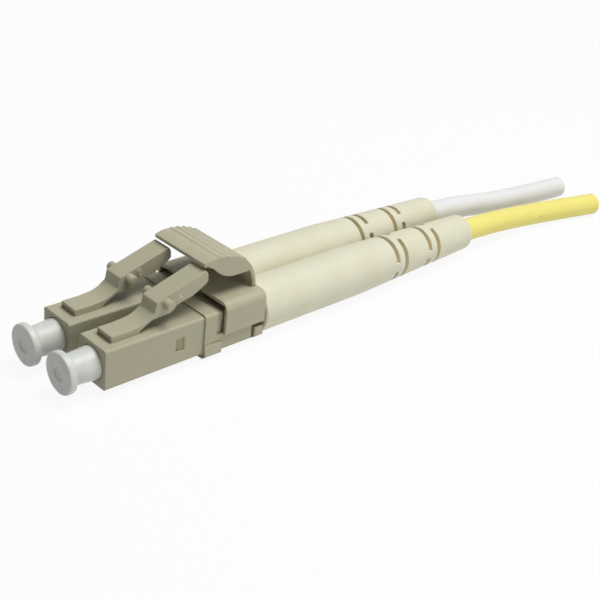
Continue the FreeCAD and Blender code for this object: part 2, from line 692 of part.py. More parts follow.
# Cable: a jacket, the yarn inside it that fans out over the crimp post, and the coated fibre, which runs on
# through the rear body to just behind the ferrule.
def cable(side):
    path = cord_path([(-SIZES["jacket_front"], *ROUTES[side][0][1:])] + ROUTES[side])
    jacket = rod_along(path, number("jacket_r"), number("jacket_in"))
    yarn = rod_along(path, number("jacket_in - skin_gap"), number("yarn_in"))
    fan = [Vector(-number(back), 0, number(up)) for back, up in (
        ("jacket_front", "yarn_in"), ("jacket_front", "jacket_in - skin_gap"),
        ("fan_back", "crimp_in - skin_gap"), ("fan_front", "crimp_in - skin_gap"),
        ("fan_front", "post_r + skin_gap"), ("post_back + skin_gap", "post_r + skin_gap"),
        ("post_back + skin_gap", "yarn_in"))]
    fan = Part.Face(Part.makePolygon(fan + fan[:1])).revolve(Vector(), Vector(1, 0, 0), 360)
    fan.translate(Vector(0, SIDES[side] * number("pitch / 2"), 0))
    fibre = rod_along(path, number("fibre_r"))
    jacket_start = Vector(-number("jacket_front"), SIDES[side] * number("pitch / 2"), 0)
    lead = Part.makeCylinder(number("fibre_r"), number("jacket_front - fibre_front"), jacket_start,
                             Vector(1, 0, 0))
    return [plain(f"cable_jacket_{side}", jacket),
            plain(f"aramid_yarn_{side}", yarn.fuse(fan).removeSplitter()),
            plain(f"coated_fibre_{side}", fibre.fuse(lead).removeSplitter())]


nodes = []
for side in SIDES:
    for make in (plug_housing, latch_lever, ferrule, ferrule_flange, ferrule_spring, rear_body, crimp_sleeve,
                 boot, dust_cap):
        nodes.append(make(side).body)
    nodes += cable(side)
nodes += [duplex_clip().body, trigger().body]
doc.recompute()

faults = [item.Name for item in doc.Objects if {"Invalid", "Error"} & set(item.State)]
faults += [node.Label for node in nodes if node.Shape.isNull() or not node.Shape.isValid()]
faults += [node.Label for node in nodes if not node.Shape.isNull() and len(node.Shape.Solids) != 1]
if faults:
    raise SystemExit("faulty: " + ", ".join(faults))

os.makedirs("parts", exist_ok=True)
for node in nodes:
    node.Shape.exportStep(f"parts/{node.Label}.step")
    box = node.Shape.BoundBox
    print(f"{node.Label:20s} volume {node.Shape.Volume:8.2f}  x {box.XMin:7.2f} {box.XMax:7.2f}"
          f"  y {box.YMin:6.2f} {box.YMax:6.2f}  z {box.ZMin:6.2f} {box.ZMax:6.2f}")
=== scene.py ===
# %% [markdown]
# # A duplex fibre plug
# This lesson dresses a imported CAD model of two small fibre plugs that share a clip. The CAD model is the
# frame: it says where everything is and how big it is. Blender adds what a drawing leaves out, which is
# rounded edges, soft rubber, cables that lie naturally, and finishes.
#
# The frame could be rebuilt here by hand, but then every size would be written twice. Loading it keeps
# one source for where things are, and only the pieces that are made new below repeat some of its sizes.

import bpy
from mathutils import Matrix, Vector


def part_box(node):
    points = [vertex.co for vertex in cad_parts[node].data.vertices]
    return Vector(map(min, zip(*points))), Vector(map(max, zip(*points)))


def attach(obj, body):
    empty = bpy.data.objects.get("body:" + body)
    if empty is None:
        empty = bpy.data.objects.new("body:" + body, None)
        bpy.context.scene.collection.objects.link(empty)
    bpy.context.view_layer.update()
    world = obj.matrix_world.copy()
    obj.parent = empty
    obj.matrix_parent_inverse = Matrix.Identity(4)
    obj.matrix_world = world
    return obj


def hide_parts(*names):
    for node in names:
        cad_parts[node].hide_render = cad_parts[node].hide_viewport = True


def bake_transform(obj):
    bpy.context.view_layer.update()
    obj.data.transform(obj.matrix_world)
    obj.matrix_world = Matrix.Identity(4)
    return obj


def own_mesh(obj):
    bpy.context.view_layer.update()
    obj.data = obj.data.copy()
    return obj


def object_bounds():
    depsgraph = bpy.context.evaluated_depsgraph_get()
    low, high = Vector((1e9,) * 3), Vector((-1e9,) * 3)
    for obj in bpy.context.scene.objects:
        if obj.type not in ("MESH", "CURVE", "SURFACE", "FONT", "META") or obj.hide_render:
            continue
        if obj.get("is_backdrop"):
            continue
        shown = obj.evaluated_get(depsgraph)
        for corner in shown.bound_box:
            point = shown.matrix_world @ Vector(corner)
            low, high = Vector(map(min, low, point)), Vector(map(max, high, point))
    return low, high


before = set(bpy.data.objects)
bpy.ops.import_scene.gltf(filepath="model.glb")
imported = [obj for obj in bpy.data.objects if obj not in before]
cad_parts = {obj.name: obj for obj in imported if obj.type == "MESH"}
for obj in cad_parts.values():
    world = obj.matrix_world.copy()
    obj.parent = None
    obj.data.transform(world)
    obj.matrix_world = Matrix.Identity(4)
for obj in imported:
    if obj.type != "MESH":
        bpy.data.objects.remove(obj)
cad_box = [list(corner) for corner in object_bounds()]

import math

import bpy
from mathutils import Matrix, Vector

MM = 0.001
SIDES = ("a", "b")


def middle_of(side):
    """Where the axis of one plug runs, across the pair, in metres."""
    low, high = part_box(f"ferrule_{side}")
    return (low.y + high.y) / 2


print("plug axes at y =", [round(middle_of(side) / MM, 3) for side in SIDES], "mm")

# %% [markdown]
# ## The camera
# The pair is seen from the front and from above, with its cables running away. A camera could be
# aimed with a Track To constraint, but that can't lean it sideways. Here it is turned like a tripod head
# instead: first round the vertical, then tilted down from level, then rolled about its own line of sight.

# %% Camera
AZIMUTH, ELEVATION, ROLL = (math.radians(angle) for angle in (131.52, 28.68, 7.64))
CAMERA_PLACE = Vector((53.46, 80.54, 59.71)) * MM
FOCAL_LENGTH, SHIFT = 66.6, (-0.0521, 0.0104)

bpy.ops.object.select_all(action="DESELECT")
bpy.ops.object.camera_add(location=CAMERA_PLACE)
camera = bpy.context.object
pan = Matrix.Rotation(AZIMUTH, 3, "Z")
tilt = Matrix.Rotation(math.radians(90) - ELEVATION, 3, "X")
lean = Matrix.Rotation(ROLL, 3, "Z")
camera.rotation_euler = (pan @ tilt @ lean).to_euler()
camera.data.lens = FOCAL_LENGTH
camera.data.shift_x, camera.data.shift_y = SHIFT
camera.data.clip_start = 1 * MM
bpy.context.scene.camera = camera
print("camera is", round(camera.location.length / MM), "mm from the plugs' front")

# %% [markdown]
# ## The cables
# Each plug ends a 3 mm cable: a soft jacket over yarn and a coated fibre. It leaves the boot straight,
# because the boot holds it, and then sinks to the surface that the pair lies on, where it has been cut.
#
# A cable could be a row of cylinders, but it would kink at each joint. A NURBS curve through a few
# given points bends evenly, as a stiff cable does, and its ends still touch their first and last
# point.

# %% The line of each cable
ROUTES = {
    "a": [(-27.4, 3.125, 0), (-46, 3.125, 0), (-60, 3.125, 0), (-73.5, 2.8, -1.4), (-85.8, 5.59, -1.5)],
    "b": [(-27.8, -3.125, 0), (-46, -3.125, 0), (-61, -3.125, 0), (-73.8, -2.2, -1.5), (-86.5, -1.17, -1.5)],
}


def cable_line(side):
    """A bare curve along the middle of one cable."""
    curve = bpy.data.curves.new(f"line_{side}", "CURVE")
    curve.dimensions = "3D"
    curve.resolution_u = 24
    spline = curve.splines.new("NURBS")
    spline.points.add(len(ROUTES[side]) - 1)
    for point, place in zip(spline.points, ROUTES[side]):
        point.co = (*(Vector(place) * MM), 1)
    spline.order_u = 3
    spline.use_endpoint_u = True
    line = bpy.data.objects.new(f"cable_jacket_line_{side}", curve)
    bpy.context.collection.objects.link(line)
    return line


def points_along(line):
    """The points that a curve with no thickness passes through."""
    mesh = bpy.data.meshes.new_from_object(line)
    points = [vertex.co.copy() for vertex in mesh.vertices]
    bpy.data.meshes.remove(mesh)
    return points


# %% [markdown]
# Operators act on everything that is selected, and the frame's pieces are selected from the start. So a
# piece is picked alone before it is worked on. Modifiers and smooth shading come again and again, so they
# get helpers too.

# %% Working on one piece
def select_only(piece):
    """Picks one piece and nothing else."""
    bpy.ops.object.select_all(action="DESELECT")
    piece.select_set(True)
    bpy.context.view_layer.objects.active = piece


def apply_modifier(piece, kind, **settings):
    """Gives the piece a modifier and makes it part of the mesh at once."""
    select_only(piece)
    modifier = piece.modifiers.new(kind.lower(), kind)
    for key, value in settings.items():
        setattr(modifier, key, value)
    bpy.ops.object.modifier_apply(modifier=modifier.name)


def smooth(piece, crease):
    """Shades the piece smoothly, but keeps edges that turn by more than crease degrees."""
    select_only(piece)
    bpy.ops.object.shade_smooth_by_angle(angle=math.radians(crease))


# %% [markdown]
# A jacket is a tube, not a rod. Giving the curve a round bevel makes its outer skin, and a Solidify
# modifier then thickens that skin inwards by the jacket's wall, which leaves the ring that shows at the
# cut end.

# %% The jackets
JACKET_RADIUS, JACKET_WALL = 1.5 * MM, 0.55 * MM

jackets, cable_points = {}, {}
for side in SIDES:
    line = cable_line(side)
    cable_points[side] = points_along(line)
    line.data.bevel_depth = JACKET_RADIUS
    line.data.bevel_resolution = 10
    select_only(line)
    bpy.ops.object.convert(target="MESH")
    apply_modifier(line, "SOLIDIFY", thickness=JACKET_WALL, offset=-1)
    smooth(line, crease=40)
    line.name = f"jacket_{side}"
    jackets[side] = line

    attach(line, "plug_pair")
    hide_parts(f"cable_jacket_{side}")

# %% [markdown]
# ## Turned shapes
# Boots, caps and ferrules are all round. One way to make such a piece is to draw half of its section and
# spin it. Another is to start with a ring and pull it along the axis, ring after ring, changing its size
# on the way, as one would by hand with Extrude and Scale. The second way is used here, because each ring
# is one line of the section and the rings stay true circles.
#
# A real moulding has no knife edges, so a corner of the section may carry a rounding, and the helper
# below turns it into a few points of an arc.

# %% A section with rounded corners
def rounded(corners, steps=4):
    """Corners are (x, radius, rounding) in mm; a rounded corner becomes an arc of several points."""
    places = [Vector(corner[:2]) for corner in corners]
    section = []
    for index, corner in enumerate(corners):
        here, rounding = places[index], corner[2]
        if not rounding:
            section.append(here)
            continue
        back = (places[index - 1] - here).normalized()
        ahead = (places[(index + 1) % len(places)] - here).normalized()
        half = back.angle(ahead) / 2
        reach = rounding / math.tan(half)
        centre = here + (back + ahead).normalized() * rounding / math.sin(half)
        first, last = here + back * reach - centre, here + ahead * reach - centre
        section += [centre + first.slerp(last, step / steps) * rounding for step in range(steps + 1)]
    return section


# %% A piece pulled up from rings
SAME_POINT = 1e-7


def from_rings(name, section, side, around=64):
    """A round shape about one plug's axis: a tube if the section comes back to its start, else a solid."""
    bpy.ops.object.select_all(action="DESELECT")
    axis = Vector((0, middle_of(side), 0))
    start = section[0]
    bpy.ops.mesh.primitive_circle_add(vertices=around, radius=start.y * MM, fill_type="NOTHING",
                                      location=axis + Vector((start.x * MM, 0, 0)),
                                      rotation=(0, math.radians(90), 0))
    piece = bpy.context.object
    piece.name = name
    bpy.ops.object.mode_set(mode="EDIT")
    if section[-1] != start:
        bpy.ops.mesh.edge_face_add()
    for before, after in zip(section, section[1:]):
        bpy.ops.mesh.extrude_region_move(
            TRANSFORM_OT_translate={"value": ((after.x - before.x) * MM, 0, 0)})
        scale = after.y / before.y
        bpy.ops.transform.resize(value=(1, scale, scale),
                                 center_override=axis + Vector((after.x * MM, 0, 0)))
    bpy.ops.mesh.select_all(action="SELECT")
    bpy.ops.mesh.remove_doubles(threshold=SAME_POINT)
    bpy.ops.mesh.normals_make_consistent(inside=False)
    bpy.ops.object.mode_set(mode="OBJECT")
    bpy.ops.object.transform_apply(location=True, rotation=True, scale=True)
    return piece


# %% [markdown]
# ## The boots
# A boot is a sleeve of soft rubber that keeps the cable from bending sharply where it is crimped. It
# tapers towards its end and is slit from alternate sides, so it bends a little at each slit.
#
# The slits could be cut with a Boolean, but that leaves long thin faces that shade badly. Here the sleeve
# gets a ring on each side of every slit from the start. Then the faces between two such rings are
# selected where the slit goes, extruded, and drawn in towards the axis, which leaves clean four-sided
# faces everywhere.

# %% The boot's sleeve
SLITS = ((42.1, 0), (43.7, 90), (48.35, 0), (50.05, 90))
SLIT_WIDTH, SLIT_FLOOR, SLIT_SWEEP = 0.62, 1.95, 152
SLEEVE_FRONT, TAPER_START, TAPER_END, SLEEVE_RADIUS, TIP_RADIUS = -20.45, -36.5, -57.3, 3.05, 2.3
SOCKET_END, SOCKET_RADIUS, CABLE_BORE = -28.9, 2.02, 1.56


def taper_radius(x):
    """How thick the tapering half of the boot is at one place along it."""
    return SLEEVE_RADIUS + (TIP_RADIUS - SLEEVE_RADIUS) * (x - TAPER_START) / (TAPER_END - TAPER_START)


slit_rings = [-back + edge * SLIT_WIDTH / 2 for back, turn in SLITS for edge in (1, -1)]
BOOT = rounded([(SLEEVE_FRONT, SOCKET_RADIUS, 0.15), (SLEEVE_FRONT, SLEEVE_RADIUS, 0.25),
                (TAPER_START, SLEEVE_RADIUS, 0)]
               + [(x, taper_radius(x), 0) for x in slit_rings]
               + [(TAPER_END, TIP_RADIUS, 0.55), (TAPER_END, CABLE_BORE, 0.12),
                  (SOCKET_END, CABLE_BORE, 0), (SOCKET_END, SOCKET_RADIUS, 0)])
BOOT.append(BOOT[0])

boots = {side: from_rings(f"boot_sleeve_{side}", BOOT, side, around=90) for side in SIDES}
print("a boot is", len(BOOT), "rings and", len(boots["a"].data.polygons), "faces")


# %% The slits
def select_slit(boot, axis, back, turn):
    """Selects the faces of the boot's skin that one slit opens, straight above the axis before the turn."""
    for face in boot.data.polygons:
        middle = (face.center - axis) / MM
        away = math.degrees(math.atan2(middle.y, middle.z)) - turn
        away = abs((away + 180) % 360 - 180)
        face.select = (abs(middle.x + back) < SLIT_WIDTH / 2 and away < SLIT_SWEEP / 2
                       and middle.yz.length > SLIT_FLOOR)
    return sum(face.select for face in boot.data.polygons)


for side, boot in boots.items():
    select_only(boot)
    axis = Vector((0, middle_of(side), 0))
    for back, turn in SLITS:
        for half in (0, 180):
            bpy.ops.object.mode_set(mode="EDIT")
            bpy.ops.mesh.select_mode(type="FACE")
            bpy.ops.mesh.select_all(action="DESELECT")
            bpy.ops.object.mode_set(mode="OBJECT")
            count = select_slit(boot, axis, back, turn + half)
            bpy.ops.object.mode_set(mode="EDIT")
            bpy.ops.mesh.extrude_region_move()
            inward = SLIT_FLOOR / taper_radius(-back)
            bpy.ops.transform.resize(value=(1, inward, inward), center_override=axis)
            bpy.ops.object.mode_set(mode="OBJECT")
    print(boot.name, "has", len(boot.data.polygons), "faces with", count, "across a slit")

# %% [markdown]
# A round boot seats at any angle and not always equally far on, so one boot is turned by an eighth and
# both are slid to where the frame has them. Rubber has no sharp edges where it is cut either: a Bevel
# modifier rounds every edge that turns by more than a limit. Smooth shading would then bulge the wide
# faces next to the narrow ones, so a Weighted Normal modifier lets the wide faces decide.

# %% Seat and soft edges
BOOT_TURN = {"a": 0, "b": -45}
ROOM_SHARE = 0.45


def soften(piece, width, limit=35, segments=2, share=lambda middle: 1):
    """Rounds edges that turn by more than limit degrees, width in mm, which share scales by an edge's place.

    Where an edge meets a short one, the width shrinks to a share of the short one's length."""
    select_only(piece)
    bpy.ops.object.mode_set(mode="EDIT")
    bpy.ops.mesh.select_mode(type="EDGE")
    bpy.ops.mesh.select_all(action="DESELECT")
    bpy.ops.mesh.edges_select_sharp(sharpness=math.radians(limit))
    bpy.ops.object.mode_set(mode="OBJECT")
    points, room = piece.data.vertices, {}
    for edge in piece.data.edges:
        first, last = edge.vertices
        length = (points[first].co - points[last].co).length
        for end in (first, last):
            room[end] = min(length, room.get(end, length))
    weights = piece.data.attributes.new("bevel_weight_edge", "FLOAT", "EDGE")
    for edge in piece.data.edges:
        first, last = edge.vertices
        middle = (points[first].co + points[last].co) / 2 / MM
        most = ROOM_SHARE * min(room[first], room[last]) / (width * MM)
        weights.data[edge.index].value = min(share(middle), most) if edge.select else 0
    apply_modifier(piece, "BEVEL", width=width * MM, segments=segments, limit_method="WEIGHT",
                   use_clamp_overlap=False)
    smooth(piece, crease=limit)
    apply_modifier(piece, "WEIGHTED_NORMAL", weight=100, keep_sharp=True)


for side, boot in boots.items():
    axis = Matrix.Translation((0, middle_of(side), 0))
    slide = Matrix.Translation((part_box(f"boot_{side}")[0].x - TAPER_END * MM, 0, 0))
    turn = Matrix.Rotation(math.radians(BOOT_TURN[side]), 4, "X")
    boot.data.transform(slide @ axis @ turn @ axis.inverted())
    soften(boot, 0.14, limit=50, segments=3)
    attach(boot, "plug_pair")
    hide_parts(f"boot_{side}")
    print(boot.name, "has", len(boot.data.polygons), "faces after softening")

# %% [markdown]
# ## The dust caps
# A dust cap is a push-in stopper of soft polyethylene. Its head is a disc with a shallow dimple, where
# the mould's gate was trimmed, and its neck widens to a plug that fills the bore round the ferrule.
#
# It is made like the boot, but its section ends close to the axis at both ends, where a small face closes
# it, so it is a solid with a blind hole.

# %% The caps
CAP_FRONT, HEAD_RADIUS, NECK_RADIUS = 3.8, 2.25, 1.6
STOPPER_END, STOPPER_RADIUS, HOLE_RADIUS, HUB_RADIUS = -2.6, 1.8, 0.66, 0.08
CAP = rounded([(3.62, HUB_RADIUS, 0), (3.64, 0.16, 0), (3.66, 0.66, 0.08), (CAP_FRONT, 0.86, 0.12),
               (CAP_FRONT, HEAD_RADIUS, 0.17), (3.08, HEAD_RADIUS, 0.12), (2.86, NECK_RADIUS, 0.42),
               (0.2, STOPPER_RADIUS, 0.12), (STOPPER_END, STOPPER_RADIUS, 0.3),
               (STOPPER_END, HOLE_RADIUS, 0.1), (2.1, HOLE_RADIUS, 0.1), (2.2, HUB_RADIUS, 0)])

caps = {side: from_rings(f"cap_{side}", CAP, side) for side in SIDES}
for side, cap in caps.items():
    smooth(cap, crease=50)
    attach(cap, f"cap_{side}")
    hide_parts(f"dust_cap_{side}")
print("a cap is", len(CAP), "rings")

# %% [markdown]
# ## The ferrules
# The ferrule is a ground rod of white zirconia with a hair-thin fibre in its middle. It is turned the
# same way, with a polished dome at its tip, which is what makes two ferrules touch at their centres.

# %% The ferrules
ROD_START, ROD_TIP, ROD_RADIUS, FIBRE_RADIUS = -4.8, 1.6, 0.625, 0.06
FERRULE = rounded([(ROD_START, FIBRE_RADIUS, 0), (ROD_START, ROD_RADIUS, 0.04), (1.41, ROD_RADIUS, 0.06),
                   (1.56, 0.47, 0.04), (1.59, 0.25, 0), (ROD_TIP, FIBRE_RADIUS, 0)])

ferrules = {side: from_rings(f"ferrule_rod_{side}", FERRULE, side, around=48) for side in SIDES}
for side, rod in ferrules.items():
    smooth(rod, crease=40)
    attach(rod, f"ferrule_{side}")
    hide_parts(f"ferrule_{side}")
print("a ferrule is", len(FERRULE), "rings")

# %% [markdown]
# ## The moulded pieces
# The housings, clip and trigger are injection moulded. The CAD model has their shapes, but its edges are
# knife-sharp, and on the real pieces every edge is slightly rounded and catches the light as a pale line.
#
# They could be modelled again from boxes. It is truer to keep the CAD shape: a copy of each is merged
# from its loose triangles, the triangles of each flat face are dissolved into one face, and the edges are
# then bevelled.

# %% A merged copy
WELD, FLATNESS = 0.02 * MM, math.radians(0.5)


def merged_copy(node):
    """A copy of a CAD node with one face for each flat side."""
    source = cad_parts[node]
    copy = bpy.data.objects.new(f"{node}_moulded", source.data.copy())
    bpy.context.collection.objects.link(copy)
    select_only(copy)
    bpy.ops.object.mode_set(mode="EDIT")
    bpy.ops.mesh.select_all(action="SELECT")
    bpy.ops.mesh.remove_doubles(threshold=WELD)
    bpy.ops.mesh.customdata_custom_splitnormals_clear()
    bpy.ops.mesh.dissolve_limited(angle_limit=FLATNESS)
    bpy.ops.object.mode_set(mode="OBJECT")
    print(copy.name, "merged into", len(copy.data.polygons), "faces")
    return copy


moulded = {node: merged_copy(node)
           for node in ("plug_housing_a", "plug_housing_b", "duplex_clip", "trigger")}

# %% [markdown]
# The clip butts against a step of each housing. The CAD model leaves a small gap there, so that its
# solids stay apart. On the real pair it is pushed home, so the clip's front is moved up to the step and
# drawn in a little, until it is flush with the housings.

# %% Clip pushed home
STEP_BACK, CLIP_FRONT, UNDERSIDE = -12.2, -12.5, -1.15
HAIR = 0.01
SIDE_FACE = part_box("plug_housing_a")[1].y + HAIR * MM
TOP_FACE = -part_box("plug_housing_a")[0].z + HAIR * MM

clip = moulded["duplex_clip"]
for vertex in clip.data.vertices:
    if vertex.co.x > (CLIP_FRONT - 2 * HAIR) * MM:
        vertex.co.x = (STEP_BACK - HAIR) * MM
        if vertex.co.z > UNDERSIDE * MM:
            vertex.co.y = max(-SIDE_FACE, min(vertex.co.y, SIDE_FACE))
            vertex.co.z = min(vertex.co.z, TOP_FACE)
print("clip now begins at x =", round(max(vertex.co.x for vertex in clip.data.vertices) / MM, 2), "mm")

# %% [markdown]
# The latch arm grows out of a block on the housing's top, so block and arm are one moulding that bends at
# its neck. The CAD model has to split them, because a solid can't bend: the block belongs to the housing
# and the arm turns on a knuckle. Here the two are made as the one springy piece that they are, and the
# block is first cut away from the housing's copy.

# %% Housing without its block
def boolean(piece, other, operation):
    """Joins the other piece to this one, or takes it away, and throws it out."""
    apply_modifier(piece, "BOOLEAN", operation=operation, solver="EXACT", object=other)
    bpy.data.objects.remove(other)


HOUSING_TOP = 2.26
CUT_SIZE, CUT_MIDDLE, CUT_RISE = (5, 2.8, 1.2), -3.3, 0.601

for side in SIDES:
    bpy.ops.object.select_all(action="DESELECT")
    place = (CUT_MIDDLE * MM, middle_of(side), (HOUSING_TOP + CUT_RISE) * MM)
    bpy.ops.mesh.primitive_cube_add(size=MM, scale=CUT_SIZE, location=place)
    housing = moulded[f"plug_housing_{side}"]
    boolean(housing, bpy.context.object, "DIFFERENCE")
    top = max(vertex.co.z for vertex in housing.data.vertices)
    print("the top of housing", side, "is now at z =", round(top / MM, 2), "mm")

# %% [markdown]
# The arm is the same all across, so its side view says almost everything. A vertex is walked round the
# side view with Extrude, the outline is filled, and the face is pulled out to the arm's width. The neck
# is a hollow curve, so a few of its points are worked out from the circle that it follows.

# %% The latch arm's side view
LIP_FRONT, LIP_TOP = -1.35, 3.0
BEND_START, BEND_END, BEND_RADIUS = Vector((-4.35, 3.08)), Vector((-6.5, 3.95)), 4.0
ARM_HALF = 1.225


def hollow(start, end, radius, steps=6):
    """Points along the arc from start to end that curves away below the line between them."""
    chord = end - start
    middle = (start + end) / 2
    lift = math.sqrt(radius ** 2 - (chord.length / 2) ** 2)
    centre = middle + Vector((chord.y, -chord.x)).normalized() * lift
    first, last = start - centre, end - centre
    return [centre + first.slerp(last, step / steps) * radius for step in range(steps + 1)]


SIDE_VIEW = ([Vector((LIP_FRONT, 2.0)), Vector((LIP_FRONT, LIP_TOP)), Vector((-3.3, LIP_TOP))]
             + hollow(BEND_START, BEND_END, BEND_RADIUS)
             + [Vector(place) for place in (
                 (-6.75, 5.12), (-12.92, 7.03), (-13.22, 6.62), (-13.3, 5.8), (-13.0, 5.5), (-11.5, 4.65),
                 (-9.3, 4.15), (-8.7, 3.48), (-6.3, 3.3), (-4.9, 2.55), (-4.72, 2.3), (-4.75, 2.0))])
print("side view of", len(SIDE_VIEW), "points")


# %% The latch arm
def latch_arm(side):
    """One springy arm with the block that it grows from."""
    bpy.ops.object.select_all(action="DESELECT")
    near = middle_of(side) + ARM_HALF * MM
    first = SIDE_VIEW[0]
    bpy.ops.mesh.primitive_plane_add(size=MM, location=(first.x * MM, near, first.y * MM))
    arm = bpy.context.object
    arm.name = f"latch_arm_{side}"
    bpy.ops.object.mode_set(mode="EDIT")
    bpy.ops.mesh.select_mode(type="VERT")
    bpy.ops.mesh.merge(type="CENTER")
    for before, after in zip(SIDE_VIEW, SIDE_VIEW[1:]):
        step = (after - before) * MM
        bpy.ops.mesh.extrude_region_move(TRANSFORM_OT_translate={"value": (step.x, 0, step.y)})
    bpy.ops.mesh.select_all(action="SELECT")
    bpy.ops.mesh.edge_face_add()
    bpy.ops.mesh.extrude_region_move(TRANSFORM_OT_translate={"value": (0, -2 * ARM_HALF * MM, 0)})
    bpy.ops.mesh.select_all(action="SELECT")
    bpy.ops.mesh.normals_make_consistent(inside=False)
    bpy.ops.object.mode_set(mode="OBJECT")
    bpy.ops.object.transform_apply(location=True, rotation=True, scale=True)
    return arm


arms = {side: latch_arm(side) for side in SIDES}
print("an arm has", len(arms["a"].data.polygons), "faces before its ears")

# %% [markdown]
# Two ears stand out from the arm's flanks and hook behind the adapter. They are the ends of one round bar
# through the arm, so a cylinder is joined to it. Under its front lip the block is hollow, which a box
# takes out.

# %% Ears and hollow
EAR_PLACE, EAR_RADIUS, EAR_SPAN = Vector((-7.9, 0, 4.8)), 0.52, 4.2
POCKET_PLACE, POCKET_SIZE = Vector((LIP_FRONT, 0, 2.44)), (0.34, 2.05, 0.32)

for side, arm in arms.items():
    centre = Vector((0, middle_of(side), 0))
    bpy.ops.object.select_all(action="DESELECT")
    bpy.ops.mesh.primitive_cylinder_add(vertices=32, radius=EAR_RADIUS * MM, depth=EAR_SPAN * MM,
                                        location=centre + EAR_PLACE * MM, rotation=(math.radians(90), 0, 0))
    boolean(arm, bpy.context.object, "UNION")
    bpy.ops.mesh.primitive_cube_add(size=MM, scale=POCKET_SIZE, location=centre + POCKET_PLACE * MM)
    boolean(arm, bpy.context.object, "DIFFERENCE")
    print(arm.name, "has", len(arm.data.polygons), "faces with ears and hollow")

# %% [markdown]
# All moulded edges are rounded now, the arms' too.

# %% Rounded edges
EDGES = {"plug_housing_a": 0.36, "plug_housing_b": 0.36, "duplex_clip": 0.16, "trigger": 0.09}
SEAM = 0.05
CHAMBER_REACH, FRONT_RIM, REAR_RIM, HOOK_TOP = 2.1, -0.5, -20.1, -1.9
TRIGGER_LIP = (-14.6, -12.9)


def round_housing(middle):
    """The full rounding at the front and half of it along the sides, but none inside or behind the step."""
    off_axis = max(abs(abs(middle.y) - middle_of("a") / MM), abs(middle.z))
    if middle.x < STEP_BACK + SEAM or off_axis < CHAMBER_REACH:
        return 0
    return 1 if middle.x > FRONT_RIM else 0.5


def round_clip(middle):
    """Less on the thin rim at the back and on the hooks below, and none along the seam."""
    if middle.x > STEP_BACK - SEAM:
        return 0
    return 0.3 if middle.x < REAR_RIM or middle.z < HOOK_TOP else 1


def round_trigger(middle):
    """None under the front lip, where the arms' tips slide when the trigger is pressed."""
    return 0 if TRIGGER_LIP[0] < middle.x < TRIGGER_LIP[1] else 1


SHARES = {"plug_housing_a": round_housing, "plug_housing_b": round_housing, "duplex_clip": round_clip,
          "trigger": round_trigger}

for node, piece in moulded.items():
    soften(piece, EDGES[node], limit=30, share=SHARES[node])
    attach(piece, "trigger" if node == "trigger" else "plug_pair")
    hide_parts(node)
    print(piece.name, "has", len(piece.data.polygons), "faces")

for side, arm in arms.items():
    soften(arm, 0.12, limit=30)
    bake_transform(arm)
    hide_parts(f"latch_lever_{side}")
    print(arm.name, "has", len(arm.data.polygons), "faces")

# %% [markdown]
# ## The springs
# Behind each ferrule a coil spring of thin wire presses it forward, and gives way when two ferrules meet.
# A solid can't be pressed together, and here a merged copy of the coil, smoothly shaded, stands in for it
# as it is.

coils = {}
for side in SIDES:
    coil = merged_copy(f"ferrule_spring_{side}")
    coil.name = f"spring_coil_{side}"
    smooth(coil, crease=40)
    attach(coil, "plug_pair")
    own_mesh(coil)
    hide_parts(f"ferrule_spring_{side}")
    coils[side] = coil

# %% [markdown]
# ## The polarity marks
# On a duplex lead each arm carries a raised letter, so that one can tell which fibre sends and which
# receives. The letters are text objects, which are easy to set, but an export only knows meshes. Each is
# therefore turned into a mesh first and then laid on the arm's flank.

# %% The letters
LETTERS = {"a": ("A", (-9.6, 4.98)), "b": ("B", (-9.2, 5.13))}
LETTER_HEIGHT, LETTER_RISE, LETTER_EDGE, ARM_SLOPE = 0.72, 0.11, 0.02, math.radians(15)
CAPITAL_SHARE = 0.7

marks = {}
for side, (letter, (along, up)) in LETTERS.items():
    bpy.ops.object.select_all(action="DESELECT")
    bpy.ops.object.text_add()
    mark = bpy.context.object
    mark.data.body = letter
    mark.data.size = LETTER_HEIGHT / CAPITAL_SHARE * MM
    mark.data.extrude = LETTER_RISE / 2 * MM
    mark.data.bevel_depth = LETTER_EDGE * MM
    mark.data.align_x, mark.data.align_y = "CENTER", "CENTER"
    bpy.ops.object.convert(target="MESH")
    across = middle_of(side) + ARM_HALF * MM
    reading = Vector((-math.cos(ARM_SLOPE), 0, math.sin(ARM_SLOPE)))
    upright = Vector((math.sin(ARM_SLOPE), 0, math.cos(ARM_SLOPE)))
    stance = Matrix((reading, upright, Vector((0, 1, 0)))).transposed().to_4x4()
    mark.data.transform(Matrix.Translation((along * MM, across, up * MM)) @ stance)
    mark.name = f"polarity_mark_{side}"
    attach(mark, f"latch_{side}")
    marks[side] = mark
    proud = max(vertex.co.y for vertex in mark.data.vertices) - across
    print(mark.name, "stands", round(proud / MM, 3), "mm proud")

# %% [markdown]
# ## Writing finishes
# A finish is a small network of shader nodes. Wired one by one, such a network is hard to read, so two
# helpers let it be written as sums. An Amount wraps a socket that carries a number, and its arithmetic
# signs add Math nodes. A Finish holds one material, adds any other node in one call, and sets or links
# the sockets.

# %% Amounts and finishes
RAYS = 6


class Amount:
    """A number that varies over a surface."""

    def __init__(self, finish, socket):
        self.finish, self.socket = finish, socket

    def math(self, operation, first, second):
        """One Math node."""
        return self.finish.node("ShaderNodeMath", {"operation": operation}, {0: first, 1: second})

    def __add__(self, other):
        return self.math("ADD", self, other)

    __radd__ = __add__

    def __mul__(self, other):
        return self.math("MULTIPLY", self, other)

    __rmul__ = __mul__

    def __sub__(self, other):
        return self.math("SUBTRACT", self, other)

    def __rsub__(self, other):
        return self.math("SUBTRACT", other, self)

    def above(self, low, high):
        """0 below low, 1 above high, and an even ramp between."""
        return self.finish.node("ShaderNodeMapRange", {"clamp": True},
                                {"Value": self, "From Min": low, "From Max": high})


